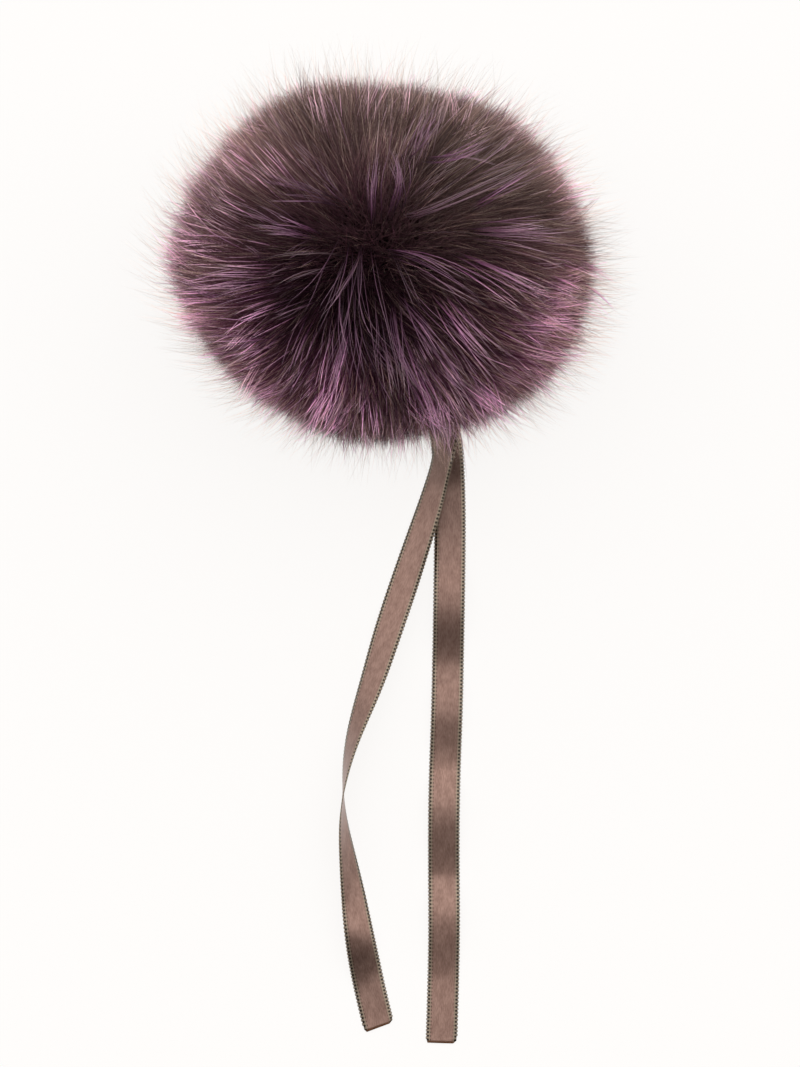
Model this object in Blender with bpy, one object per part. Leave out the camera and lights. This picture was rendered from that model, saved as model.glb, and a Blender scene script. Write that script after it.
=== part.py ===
"""Fur pom pom with two satin ribbon tails, lying on a flat surface.

A round of long-pile fur is gathered into a ball. Its hair parts at a whorl on top and
falls outwards all round, down to the surface. Two ribbon tails leave the gathered neck,
which is low on the -Y side, and run out along the surface. The left one turns over once.

The origin is the middle of the small flat spot that the ball rests on. +Z is up and the
tails point towards -Y. Units are metres; angles in the tables are degrees.
"""

import math

import bmesh
import bpy
import numpy as np
from mathutils import Vector

MM = 0.001
GAP = 0.3 * MM                                  # between pieces that touch

# Gathered ball: the pelt with the packed underfur on it.
BALL_CENTRE = Vector((0, 0, 37)) * MM
BALL_HALF = Vector((45, 38, 39)) * MM
FLAT_SPOT_RADIUS = 13 * MM
FLAT_SPOT_CORNERS = 9
BALL_CORNERS = 150
CORNER_SCATTER = 0.15                           # stray of a corner, in spacings
HIGHEST_CORNER = 0.997                          # height on a ball of radius 1
LOWEST_CORNER = 0.05                            # height over the surface, on the same ball
SCATTER_SEED = 7

# Where the hair passes halfway, and where its tips end.
SWEEP_CENTRE = Vector((0, 0, 39)) * MM
SWEEP_HALF = Vector((62, 53, 53)) * MM
TIP_CENTRE = Vector((0, 0, 44)) * MM
TIP_HALF = Vector((71, 62, 64)) * MM
UPRIGHT_POLAR = 118.0                           # polar angle where hair stands straight out
SWEEP_FALL = 4.0                                # most that hair has fallen halfway
TIP_FALL = 13.0                                 # most that hair has fallen at its tip

# Locks: three-sided and tapered, one on each facet of the ball.
LOCK_RINGS = (
    # share of the length, share of the root's width
    (0.22, 0.86),
    (0.48, 0.68),
    (0.76, 0.40),
)
LOCK_REACH = (0.76, 1.10)                       # shortest and longest lock
LOCK_STRAY = 0.35                               # how far a tip strays within its facet
STRAY_EVENNESS = 1.4                            # above 1, few tips stray right to a corner
LOCK_LOWEST_ROOT = 3.4 * MM
LEVEL_OVER_SURFACE = 0.4 * MM                   # fur that lies on the surface
LEVEL_OVER_RIBBONS = 6.8 * MM                   # fur that lies on the ribbons
SETTLING = 1.6 * MM                             # softness of the bend where fur lies down
SETTLED_BY = 0.25                               # share of a lock by which it counts in full
RIBBONS_MARGIN = 2.5 * MM                       # fur this close beside the ribbons lies on them
RIBBONS_SHOULDER = 7 * MM                       # and from there it comes down in this width
RIBBONS_BEHIND = 6.5 * MM                       # fur starts to rise this far behind the neck
RIBBONS_RISE = 10 * MM                          # and is on the ribbons after this distance

# Broad swellings of the ball: it is fuller to the lower right, flatter to the lower left.
LOBES = (
    # azimuth, elevation, width, swell as a share of the radius
    (-36, -5, 30, 0.045),
    (212, -5, 28, -0.055),
    (262, -10, 18, 0.035),
    (128, 20, 24, 0.030),
    (72, 35, 26, -0.035),
    (10, 45, 24, 0.030),
    (-70, 55, 30, -0.025),
    (170, 15, 20, 0.025),
)

# Gathered neck: the mouth in the ball that holds both ribbon ends.
NECK_PLACE = Vector((13.0, -20.5, 6.2)) * MM
NECK_AZIMUTH = math.radians(-76)                # the way the ribbons leave, seen from above
NECK_CLIMB = math.radians(20)                   # how steeply the ribbons rise into it
NECK_DEPTH = 8 * MM
NECK_RUN = 5 * MM                               # straight run of the ribbons outside it
NECK_CLEAR_RADIUS = 7.5 * MM                    # no corner of the ball is this close to it
NECK_BARE_RADIUS = 11 * MM                      # no lock grows this close to it

# Ribbon.
RIBBON_WIDTH = 10 * MM
RIBBON_THICKNESS = 1 * MM
RIBBONS_STRAIGHT_X = 20.8 * MM                  # where their slant from the neck ends
STATION_SPACING = 3.6 * MM

# Routes of the tails beyond the neck: the ribbon's middle seen from above, the height of
# its lower edge above the surface, and its roll, which is 180 where it is turned over.
RIGHT_ROUTE = (
    # x mm, y mm, height mm, roll
    (16.4, -35.0, 0.0, 0),
    (19.7, -50.0, 0.0, 0),
    (20.8, -62.0, 0.0, 0),
    (20.9, -98.0, 0.0, 0),
    (20.2, -135.0, 0.0, 0),
    (19.3, -165.0, 0.0, 0),
    (19.3, -205.0, 0.0, 0),
    (18.5, -239.1, 0.0, 0),
)
LEFT_ROUTE = (
    # x mm, y mm, height mm, roll
    (16.4, -35.0, 1.7, 0),
    (20.0, -48.0, 1.7, 3),
    (19.4, -57.0, 1.5, 11),
    (16.3, -68.1, 0.5, 20),
    (11.3, -83.0, 0.0, 24),
    (6.2, -98.0, 0.0, 24),
    (1.2, -113.0, 0.0, 29),
    (-3.6, -128.0, 0.0, 42),
    (-8.7, -143.0, 0.0, 62),
    (-11.7, -158.0, 0.0, 84),
    (-12.0, -169.0, 0.0, 102),
    (-10.8, -180.0, 0.0, 119),
    (-8.6, -195.0, 0.0, 142),
    (-6.2, -210.0, 0.0, 164),
    (-3.6, -223.0, 0.0, 180),
    (-0.9, -234.2, 0.0, 180),
)

# Soft ripples, where the right tail lifts off the surface.
RIGHT_RIPPLES = (
    # y mm of the crest, height mm, half-length mm
    (-101, 1.5, 17),
    (-137, 1.1, 14),
    (-168, 1.3, 16),
    (-203, 1.3, 16),
)
LEFT_END_SLANT = math.radians(9)                # the left tail's end is cut a little askew

FUR_COLOUR = (0.030, 0.014, 0.022, 1)
RIBBON_COLOUR = (0.270, 0.165, 0.130, 1)


def clear_scene():
    for item in list(bpy.data.objects):
        bpy.data.objects.remove(item, do_unlink=True)


def plain_material(name, colour, roughness):
    material = bpy.data.materials.new(name)
    material.use_nodes = True
    shader = material.node_tree.nodes["Principled BSDF"]
    shader.inputs["Base Color"].default_value = colour
    shader.inputs["Roughness"].default_value = roughness
    shader.inputs["Metallic"].default_value = 0.0
    return material


def add_object(name, bm, material):
    """Turn a bmesh into a named object with outward faces."""
    bmesh.ops.recalc_face_normals(bm, faces=list(bm.faces))
    mesh = bpy.data.meshes.new(name)
    bm.to_mesh(mesh)
    bm.free()
    mesh.materials.append(material)
    item = bpy.data.objects.new(name, mesh)
    bpy.context.collection.objects.link(item)
    return item


def times(first, second):
    """The two vectors multiplied axis by axis."""
    return Vector((first.x * second.x, first.y * second.y, first.z * second.z))


def over(first, second):
    """The first vector divided by the second axis by axis."""
    return Vector((first.x / second.x, first.y / second.y, first.z / second.z))


def smooth_step(value):
    """0 below 0, 1 above 1, and level at both ends between them."""
    value = max(0.0, min(1.0, value))
    return value * value * (3 - 2 * value)


def from_angles(azimuth, polar):
    """Unit direction from an azimuth and a polar angle measured down from +Z, in radians."""
    ring = math.sin(polar)
    return Vector((ring * math.cos(azimuth), ring * math.sin(azimuth), math.cos(polar)))


def swell(facing):
    """Share by which the lobes swell or dent the ball: a sum of round bumps."""
    total = 0.0
    for azimuth, elevation, width, amount in LOBES:
        peak = from_angles(math.radians(azimuth), math.radians(90 - elevation))
        off = math.degrees(facing.angle(peak)) / width
        total += amount * math.exp(-off * off)
    return total


def lobed(centre, half, facing):
    """Point of an ellipsoid with the lobes on it, in the direction faced."""
    return centre + times(facing, half) * (1 + swell(facing))


def fallen(facing, most):
    """Direction after the hair has fallen away from the whorl: nothing at the whorl or at
    UPRIGHT_POLAR, most between them, and the other way below, where the surface lifts it."""
    polar = math.degrees(math.acos(max(-1.0, min(1.0, facing.z))))
    polar += most * math.sin(math.pi * polar / UPRIGHT_POLAR)
    return from_angles(math.atan2(facing.y, facing.x), math.radians(polar))


def ribbons_middle(y):
    """X of the middle of the two tails under the fur: a slanted line, then a straight one."""
    slanted = NECK_PLACE.x + (y - NECK_PLACE.y) / math.tan(NECK_AZIMUTH)
    return min(slanted, RIBBONS_STRAIGHT_X)


def resting_level(place):
    """Height that fur lies down on: just above the surface, and higher over the ribbons."""
    beside = abs(place.x - ribbons_middle(place.y)) - (RIBBON_WIDTH / 2 + RIBBONS_MARGIN)
    in_front = (NECK_PLACE.y + RIBBONS_BEHIND) - place.y
    near = 1 - smooth_step(beside / RIBBONS_SHOULDER)
    on_ribbons = near * smooth_step(in_front / RIBBONS_RISE)
    return LEVEL_OVER_SURFACE + (LEVEL_OVER_RIBBONS - LEVEL_OVER_SURFACE) * on_ribbons


def fur_point(facing, share):
    """Place in the fur by the direction of the root and the share of the way to the tip: a
    quadratic curve by way of the sweep, bent smoothly to lie on what is under it."""
    root = lobed(BALL_CENTRE, BALL_HALF, facing)
    swept = lobed(SWEEP_CENTRE, SWEEP_HALF, fallen(facing, SWEEP_FALL))
    tip = lobed(TIP_CENTRE, TIP_HALF, fallen(facing, TIP_FALL))
    rest = 1 - share
    place = root * (rest * rest) + swept * (2 * rest * share) + tip * (share * share)
    settled = min(1.0, share / SETTLED_BY)
    level = resting_level(place) * settled
    soft = SETTLING * settled
    above = place.z - level
    place.z = level + 0.5 * (above + math.sqrt(above * above + soft * soft))
    return place


def body_corners():
    """Corners of the ball above its flat spot: a spiral of even steps, each corner a little
    astray, with none at the neck."""
    chance = np.random.default_rng(SCATTER_SEED)
    spacing = math.sqrt(4 * math.pi / BALL_CORNERS)
    lowest = LOWEST_CORNER - BALL_CENTRE.z / BALL_HALF.z
    golden_turn = math.pi * (3 - math.sqrt(5))
    corners = []
    for index in range(BALL_CORNERS):
        height = HIGHEST_CORNER - (index + 0.5) / BALL_CORNERS * (HIGHEST_CORNER - lowest)
        stray = Vector(chance.normal(0, CORNER_SCATTER * spacing, 3))
        facing = (from_angles(index * golden_turn, math.acos(height)) + stray).normalized()
        corner = lobed(BALL_CENTRE, BALL_HALF, facing)
        if facing.z > lowest and (corner - NECK_PLACE).length > NECK_CLEAR_RADIUS:
            corners.append(corner)
    return corners


def flat_spot_corners():
    """Corners of the flat spot: an even ring on the surface."""
    turn = 2 * math.pi / FLAT_SPOT_CORNERS
    ring = []
    for index in range(FLAT_SPOT_CORNERS):
        ring.append(Vector((math.cos(turn * index), math.sin(turn * index), 0)) * FLAT_SPOT_RADIUS)
    return ring


def neck_axes():
    """Unit directions of the neck: inwards, across the ribbons, and up through them."""
    inwards = -from_angles(NECK_AZIMUTH, math.pi / 2 + NECK_CLIMB)
    across = Vector((-math.sin(NECK_AZIMUTH), math.cos(NECK_AZIMUTH), 0))
    return inwards, across, across.cross(inwards)


def onto_ball(point, heading):
    """Where a line through a point, followed along the heading, enters the ellipsoid."""
    start = point - BALL_CENTRE - heading * (2 * BALL_HALF.x)
    scaled = over(start, BALL_HALF)
    step = over(heading, BALL_HALF)
    square = step.dot(step)
    linear = scaled.dot(step)
    constant = scaled.dot(scaled) - 1
    travel = (-linear - math.sqrt(linear * linear - square * constant)) / square
    return BALL_CENTRE + start + heading * travel


def neck_corners():
    """The mouth's four corners on the ball, and the four at the bottom of its pocket."""
    inwards, across, upwards = neck_axes()
    half_width = RIBBON_WIDTH / 2 + GAP
    half_height = RIBBON_THICKNESS + GAP / 2 + GAP
    rim = []
    bottom = []
    for side, level in ((-1, -1), (1, -1), (1, 1), (-1, 1)):
        line = NECK_PLACE + across * (half_width * side) + upwards * (half_height * level)
        rim.append(onto_ball(line, inwards))
        bottom.append(line + inwards * NECK_DEPTH)
    return rim, bottom


def grow_lock(bm, face, home, chance):
    """Draw one facet out into a tapered lock that follows the fall of the hair."""
    corners = [vert[home].copy() for vert in face.verts]
    middle = sum(corners, Vector()).normalized()
    reach = chance.uniform(*LOCK_REACH)
    target = Vector()
    for corner, weight in zip(corners, chance.dirichlet([STRAY_EVENNESS] * 3)):
        target += corner * weight
    stray = (target.normalized() - middle) * LOCK_STRAY
    for share, width in LOCK_RINGS:
        face = bmesh.ops.extrude_discrete_faces(bm, faces=[face])["faces"][0]
        for vert in face.verts:
            facing = middle + (vert[home] - middle) * width + stray * share
            vert.co = fur_point(facing.normalized(), share * reach)
    tip = bmesh.ops.poke(bm, faces=[face])["verts"][0]
    tip.co = fur_point((middle + stray).normalized(), reach)


def make_fur_ball(material):
    """The ball's facets are the hull of its corners. The flat spot is one facet, the neck's
    pocket is pushed in, and every facet clear of both grows a lock."""
    body = body_corners()
    spot = flat_spot_corners()
    rim, bottom = neck_corners()
    bm = bmesh.new()
    home = bm.verts.layers.float_vector.new("home")
    places = {}
    for place in body + spot + rim:
        facing = over(place - BALL_CENTRE, BALL_HALF).normalized()
        vert = bm.verts.new(facing)
        vert[home] = facing
        places[vert] = place
    verts = list(places)
    spot_verts = set(verts[len(body):-len(rim)])
    rim_verts = verts[-len(rim):]
    bmesh.ops.convex_hull(bm, input=verts)
    for vert, place in places.items():
        vert.co = place

    under = [face for face in bm.faces if spot_verts.issuperset(face.verts)]
    bmesh.ops.dissolve_faces(bm, faces=under)
    mouth = [face for face in bm.faces if set(rim_verts).issuperset(face.verts)]
    mouth_face = bmesh.ops.dissolve_faces(bm, faces=mouth)["region"][0]

    hairy = []
    for face in bm.faces:
        lowest = min(vert.co.z for vert in face.verts)
        to_neck = (face.calc_center_median() - NECK_PLACE).length
        if len(face.verts) == 3 and lowest > LOCK_LOWEST_ROOT and to_neck > NECK_BARE_RADIUS:
            hairy.append(face)

    pushed = bmesh.ops.extrude_discrete_faces(bm, faces=[mouth_face])["faces"][0]
    for vert in pushed.verts:
        nearest = min(range(len(rim)), key=lambda corner: (vert.co - rim[corner]).length)
        vert.co = bottom[nearest]

    chance = np.random.default_rng(SCATTER_SEED)
    for face in hairy:
        grow_lock(bm, face, home, chance)
    return add_object("fur_ball", bm, material)


def spline(knots, spacing):
    """Rows read at even steps from a smooth curve through the knots: a natural cubic in
    each column, over the distance between knots."""
    knots = np.asarray(knots, float)
    steps = np.linalg.norm(np.diff(knots[:, :3], axis=0), axis=1)
    at = np.concatenate(([0.0], np.cumsum(steps)))
    count = len(at)
    system = np.eye(count)
    target = np.zeros_like(knots)
    for row in range(1, count - 1):
        before = at[row] - at[row - 1]
        after = at[row + 1] - at[row]
        system[row, row - 1:row + 2] = (before, 2 * (before + after), after)
        slope_change = (knots[row + 1] - knots[row]) / after - (knots[row] - knots[row - 1]) / before
        target[row] = 6 * slope_change
    bend = np.linalg.solve(system, target)
    wanted = np.linspace(0, at[-1], int(round(at[-1] / spacing)) + 1)
    piece = np.clip(np.searchsorted(at, wanted, side="right") - 1, 0, count - 2)
    length = (at[piece + 1] - at[piece])[:, None]
    ahead = (wanted - at[piece])[:, None]
    behind = length - ahead
    rows = (bend[piece] * behind ** 3 + bend[piece + 1] * ahead ** 3) / (6 * length)
    rows += (knots[piece] / length - bend[piece] * length / 6) * behind
    rows += (knots[piece + 1] / length - bend[piece + 1] * length / 6) * ahead
    return rows


def ripple_height(y, ripples):
    """Height of the soft ripples at each station: squared cosines about their crests."""
    height = np.zeros_like(y)
    for crest, peak, half_length in ripples:
        off = np.clip((y - crest * MM) / (half_length * MM), -1, 1)
        height += peak * MM * np.cos(off * math.pi / 2) ** 2
    return height


def tail_frames(route, layer, ripples):
    """Stations along a tail: its middle, the direction across it, and the direction out of
    its face. It starts inside the neck, where layer -1 is below and layer 1 above."""
    inwards, _, upwards = neck_axes()
    in_layer = upwards * (layer * (RIBBON_THICKNESS + GAP) / 2)
    knots = []
    for along in (NECK_DEPTH - GAP, 0, -NECK_RUN):
        place = NECK_PLACE + inwards * along + in_layer
        knots.append((place.x, place.y, place.z - RIBBON_THICKNESS / 2, 0.0))
    for x, y, height, roll in route:
        knots.append((x * MM, y * MM, height * MM, math.radians(roll)))
    rows = spline(knots, STATION_SPACING)
    roll = np.clip(rows[:, 3], 0, math.pi)[:, None]
    middle = rows[:, :3]
    middle[:, 2] = np.clip(middle[:, 2], 0, None) + ripple_height(middle[:, 1], ripples)
    middle[:, 2] += np.sin(roll[:, 0]) * RIBBON_WIDTH / 2
    middle[:, 2] += np.abs(np.cos(roll[:, 0])) * RIBBON_THICKNESS / 2
    tangent = np.gradient(middle, axis=0)
    tangent /= np.linalg.norm(tangent, axis=1)[:, None]
    side = np.cross((0, 0, 1), tangent)
    side /= np.linalg.norm(side, axis=1)[:, None]
    up = np.cross(tangent, side)
    across = side * np.cos(roll) + up * np.sin(roll)
    out = up * np.cos(roll) - side * np.sin(roll)
    return middle, tangent, across, out


def make_tail(name, route, layer, ripples, slant, material):
    """A flat bar of ribbon carried along its route, no part of it below the surface."""
    middle, tangent, across, out = tail_frames(route, layer, ripples)
    bm = bmesh.new()
    rings = []
    for index in range(len(middle)):
        last = index == len(middle) - 1
        ring = []
        for edge, face in ((-1, -1), (1, -1), (1, 1), (-1, 1)):
            place = middle[index] + across[index] * (edge * RIBBON_WIDTH / 2)
            place = place + out[index] * (face * RIBBON_THICKNESS / 2)
            if last:
                place = place + tangent[index] * (edge * math.tan(slant) * RIBBON_WIDTH / 2)
            ring.append(place)
        lift = max(0.0, -min(place[2] for place in ring))
        rings.append([bm.verts.new((place[0], place[1], place[2] + lift)) for place in ring])
    for first, second in zip(rings, rings[1:]):
        for corner in range(4):
            following = (corner + 1) % 4
            bm.faces.new((first[corner], first[following], second[following], second[corner]))
    bm.faces.new(rings[0])
    bm.faces.new(rings[-1])
    return add_object(name, bm, material)


def main():
    clear_scene()
    fur = plain_material("fur", FUR_COLOUR, 0.8)
    satin = plain_material("satin_ribbon", RIBBON_COLOUR, 0.45)
    make_fur_ball(fur)
    make_tail("ribbon_tail_right", RIGHT_ROUTE, -1, RIGHT_RIPPLES, 0.0, satin)
    make_tail("ribbon_tail_left", LEFT_ROUTE, 1, (), LEFT_END_SLANT, satin)


main()
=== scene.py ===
"""Looks of a fur pom pom with two satin ribbon tails, laid flat and seen from straight above.

The sections follow the object as it is put together: the view, the gathered pelt, its
underfur, its guard hair, the locks that stand out, the fringe of loose hair, the two ribbon
tails with their woven edges, and last the surface and the light.
"""

import math

import bpy
import numpy as np
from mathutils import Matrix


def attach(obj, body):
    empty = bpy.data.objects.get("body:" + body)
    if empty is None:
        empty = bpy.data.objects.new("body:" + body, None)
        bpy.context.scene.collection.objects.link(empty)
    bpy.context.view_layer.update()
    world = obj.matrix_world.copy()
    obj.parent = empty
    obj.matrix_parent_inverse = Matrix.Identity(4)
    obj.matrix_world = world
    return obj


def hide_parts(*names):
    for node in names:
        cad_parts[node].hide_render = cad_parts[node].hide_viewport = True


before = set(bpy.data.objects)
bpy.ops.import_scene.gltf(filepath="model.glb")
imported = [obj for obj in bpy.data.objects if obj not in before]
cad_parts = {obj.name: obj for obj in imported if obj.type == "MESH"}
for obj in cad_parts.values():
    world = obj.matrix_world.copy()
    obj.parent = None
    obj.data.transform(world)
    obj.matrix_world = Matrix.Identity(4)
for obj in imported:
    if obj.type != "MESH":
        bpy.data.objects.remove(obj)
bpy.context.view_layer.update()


# ---------------------------------------------------------------------------------------
# The view: a flat lay, so the camera hangs straight above it and looks down, with the
# tails towards the viewer. A ribbon 10 mm wide on the surface spans 32.1 pixels.
MM = 0.001
PICTURE_HEIGHT = 1067                           # pixels
PIXEL = 10 * MM / 32.1                          # on the surface
CAMERA_PLACE = (5.6 * MM, -80.4 * MM, 1050 * MM)
SENSOR_HEIGHT = 36                              # mm, as lenses are measured

camera = bpy.data.objects.new("camera", bpy.data.cameras.new("camera"))
camera.data.sensor_fit = "VERTICAL"
camera.data.sensor_height = SENSOR_HEIGHT
camera.data.lens = SENSOR_HEIGHT * CAMERA_PLACE[2] / (PICTURE_HEIGHT * PIXEL)
camera.data.clip_start = 10 * MM
camera.data.clip_end = 20
camera.location = CAMERA_PLACE
bpy.context.scene.collection.objects.link(camera)
bpy.context.scene.camera = camera


# ---------------------------------------------------------------------------------------
# The pelt: a round of long-haired skin, gathered by a thread into a soft stuffed ball with
# the hair outside. Its neck is low on the -Y side, and it has settled on a small flat spot.
# Little of it shows: the whorl, and the dark under the parted hair.
BALL_CENTRE = np.array((0, 0, 37)) * MM
BALL_HALF = np.array((45, 38, 39)) * MM
PELT_INSET = 1.5 * MM
PELT_LUMP = 1.1 * MM
PELT_CLEARANCE = 0.3 * MM                       # over the surface
PELT_ROWS = 60
PELT_COLUMNS = 96
LOBES = np.array((
    # azimuth, elevation, width, swell as a share of the radius
    (-36, -5, 30, 0.045),
    (212, -5, 28, -0.040),
    (262, -10, 18, 0.035),
    (128, 20, 24, 0.030),
    (72, 45, 20, -0.030),
    (55, 0, 24, 0.050),
    (10, 45, 24, 0.030),
    (-70, 55, 30, -0.025),
    (180, 5, 20, 0.040),
    (110, 5, 18, 0.070),
    (3, 3, 20, 0.025),
    (246, 0, 14, -0.030),
    (281, 0, 10, -0.030),
))
PELT_DARK = (0.018, 0.009, 0.010, 1)
PELT_LIGHT = (0.040, 0.021, 0.023, 1)


class Tone:
    """An output of a material's nodes. Arithmetic on it adds Math nodes to that material."""

    def __init__(self, tree, socket=None):
        self.tree = tree
        self.socket = socket

    def add(self, kind, settings=None, inputs=None, output=0):
        """A node of the given kind: first its settings, then values or links of its inputs.
        The setting named stops holds a ramp's (place, colour) pairs."""
        node = self.tree.nodes.new(kind)
        for name, value in (settings or {}).items():
            if name == "stops":
                stops = node.color_ramp.elements
                while len(stops) < len(value):
                    stops.new(1.0)
                for stop, (place, colour) in zip(stops, value):
                    stop.position = place
                    stop.color = colour
            else:
                setattr(node, name, value)
        for name, value in (inputs or {}).items():
            if isinstance(value, Tone):
                self.tree.links.new(value.socket, node.inputs[name])
            else:
                node.inputs[name].default_value = value
        return Tone(self.tree, node.outputs[output])

    def math(self, operation, *values):
        """A Math node whose inputs are the given values, in their order."""
        inputs = {index: value for index, value in enumerate(values)}
        return self.add("ShaderNodeMath", {"operation": operation}, inputs)

    def __add__(self, other):
        return self.math("ADD", self, other)

    def __radd__(self, other):
        return self.math("ADD", other, self)

    def __sub__(self, other):
        return self.math("SUBTRACT", self, other)

    def __rsub__(self, other):
        return self.math("SUBTRACT", other, self)

    def __mul__(self, other):
        return self.math("MULTIPLY", self, other)

    def __rmul__(self, other):
        return self.math("MULTIPLY", other, self)

    def __truediv__(self, other):
        return self.math("DIVIDE", self, other)

    def __rtruediv__(self, other):
        return self.math("DIVIDE", other, self)

    def __pow__(self, other):
        return self.math("POWER", self, other)

    def __rpow__(self, other):
        return self.math("POWER", other, self)

    def step(self, low, high):
        """0 below low, 1 above high, and smooth between them."""
        settings = {"interpolation_type": "SMOOTHSTEP"}
        inputs = {"Value": self, "From Min": low, "From Max": high}
        return self.add("ShaderNodeMapRange", settings, inputs)

    def blend(self, first, second):
        """The first colour where this value is 0, the second where it is 1."""
        return self.add("ShaderNodeMix", {"data_type": "RGBA"}, {0: self, 6: first, 7: second}, 2)

    def ramp(self, *stops):
        return self.add("ShaderNodeValToRGB", {"stops": stops}, {0: self})

    def lighten(self, colour):
        """The colour multiplied by this value."""
        return self.add("ShaderNodeVectorMath", {"operation": "SCALE"}, {0: colour, "Scale": self})


def new_finish(name, roughness, specular):
    """A material, the Tone that adds nodes to it, and its shader."""
    material = bpy.data.materials.new(name)
    material.use_nodes = True
    shader = material.node_tree.nodes["Principled BSDF"]
    shader.inputs["Roughness"].default_value = roughness
    shader.inputs["Specular IOR Level"].default_value = specular
    return material, Tone(material.node_tree), shader


def colour_it(tone, shader, colour):
    tone.tree.links.new(colour.socket, shader.inputs["Base Color"])


def parts_of(tone, vector):
    """The first two parts of a vector, such as U and V of a place on a map."""
    first = tone.add("ShaderNodeSeparateXYZ", inputs={0: vector})
    return first, Tone(tone.tree, first.socket.node.outputs[1])


def stand_for(piece, node):
    """Let a piece ride on the one body and replace a solid, which is hidden."""
    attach(piece, "root")
    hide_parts(node)


def unit(vectors):
    return vectors / np.linalg.norm(vectors, axis=-1, keepdims=True)


def from_angles(azimuth, elevation):
    """Unit directions from an azimuth and an elevation above the horizon, in degrees."""
    azimuth, elevation = np.broadcast_arrays(np.radians(azimuth), np.radians(elevation))
    ring = np.cos(elevation)
    return np.stack((ring * np.cos(azimuth), ring * np.sin(azimuth), np.sin(elevation)), -1)


def bumps(facing, table):
    """A value for each direction faced: a sum of round bumps, each its amount times e to
    the minus square of (angle from its peak over its width)."""
    peaks = from_angles(table[:, 0], table[:, 1])
    off = np.degrees(np.arccos(np.clip(facing @ peaks.T, -1, 1))) / table[:, 2]
    return (table[:, 3] * np.exp(-off * off)).sum(-1, keepdims=True)


def shell(centre, half, facing):
    """Points of an ellipsoid with the lobes on it: centre + facing * half * (1 + lobes)."""
    return centre + facing * half * (1 + bumps(facing, LOBES))


def lay_mesh(name, corners, faces, material, map_places=None):
    """A mesh object from an array of corners and arrays of faces, each an array of rows of
    corner numbers, with the map's places in the same order as the faces' corners."""
    mesh = bpy.data.meshes.new(name)
    mesh.vertices.add(len(corners))
    mesh.vertices.foreach_set("co", np.asarray(corners, np.float32).ravel())
    loops = np.concatenate([rows.ravel() for rows in faces])
    sizes = np.concatenate([np.full(len(rows), rows.shape[1]) for rows in faces])
    mesh.loops.add(len(loops))
    mesh.loops.foreach_set("vertex_index", loops.astype(np.int32))
    mesh.polygons.add(len(sizes))
    starts = np.concatenate(([0], np.cumsum(sizes)[:-1]))
    mesh.polygons.foreach_set("loop_start", starts.astype(np.int32))
    mesh.polygons.foreach_set("use_smooth", np.ones(len(sizes), bool))
    mesh.update(calc_edges=True)
    if map_places is not None:
        places = np.concatenate([rows.reshape(-1, 2) for rows in map_places])
        layer = mesh.uv_layers.new(name="OFBake")
        layer.data.foreach_set("uv", places.astype(np.float32).ravel())
    mesh.materials.append(material)
    piece = bpy.data.objects.new(name, mesh)
    bpy.context.scene.collection.objects.link(piece)
    return piece


def make_pelt(material):
    """A ball of rows and columns on the pelt's ellipsoid, with soft lumps made of three
    waves, pressed flat just above the surface. Rows run from pole to pole, and each pole is
    closed by a fan of triangles."""
    elevation = np.linspace(90, -90, PELT_ROWS + 2)[1:-1]
    azimuth = np.arange(PELT_COLUMNS) * 360 / PELT_COLUMNS
    facing = from_angles(azimuth[None, :], elevation[:, None]).reshape(-1, 3)
    facing = np.concatenate((facing, ((0, 0, 1.0), (0, 0, -1.0))))
    place = shell(BALL_CENTRE, BALL_HALF - PELT_INSET, facing)
    waves = np.sin(facing[:, 0] * 17 + facing[:, 1] * 9) + np.sin(facing[:, 1] * 21 - facing[:, 2] * 8)
    waves += np.sin(facing[:, 2] * 19 + facing[:, 0] * 12)
    place += facing * (waves * PELT_LUMP / 3)[:, None]
    place[:, 2] = np.maximum(place[:, 2], PELT_CLEARANCE)
    number = np.arange(PELT_ROWS * PELT_COLUMNS).reshape(PELT_ROWS, PELT_COLUMNS)
    beside = np.roll(number, -1, axis=1)
    walls = np.stack((number[1:], beside[1:], beside[:-1], number[:-1]), -1).reshape(-1, 4)
    top = np.full(PELT_COLUMNS, number.size)
    upper = np.stack((number[0], beside[0], top), -1)
    lower = np.stack((beside[-1], number[-1], top + 1), -1)
    return lay_mesh("pelt", place, (walls, upper, lower), material)


pelt_finish, tone, shader = new_finish("pelt", roughness=0.9, specular=0.1)
coordinates = tone.add("ShaderNodeTexCoord", output="Object")
lumps = tone.add("ShaderNodeTexNoise", inputs={"Vector": coordinates, "Scale": 260, "Detail": 3})
hairs = tone.add("ShaderNodeTexNoise", inputs={"Vector": coordinates, "Scale": 1900, "Detail": 2})
colour_it(tone, shader, lumps.step(0.35, 0.7).blend(PELT_DARK, PELT_LIGHT))
bump = tone.add("ShaderNodeBump", inputs={"Height": hairs, "Distance": 0.4 * MM, "Strength": 0.8})
tone.tree.links.new(bump.socket, shader.inputs["Normal"])
pelt = make_pelt(pelt_finish)
stand_for(pelt, "fur_ball")


# ---------------------------------------------------------------------------------------
# The underfur: short, very fine and thick hair next to the skin, dark brown, greyer
# where the pelt's back was and plum where the dye took best. It makes the dense round of
# the ball. Each hair here stands for a wisp of several real ones.
SWEEP_CENTRE = np.array((0, 0, 39)) * MM
SWEEP_HALF = np.array((62, 53, 53)) * MM
TIP_CENTRE = np.array((0, 0, 44)) * MM
TIP_HALF = np.array((71, 62, 64)) * MM
WHORL = unit(np.array((-1.5, 6.0, 56.0)))       # where the hair parts
SWIRLS = np.array((
    # azimuth, elevation, width, turn round the whorl, all in degrees
    (185, 15, 40, -15),
    (235, 12, 22, -10),
    (252, 66, 22, 26),
    (318, 20, 30, 8),
    (3, 52, 28, -13),
    (68, 42, 24, -7),
))
UPRIGHT_POLAR = 118.0                           # degrees from the whorl, where hair has no fall
LEVEL_OVER_SURFACE = 0.5 * MM
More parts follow.
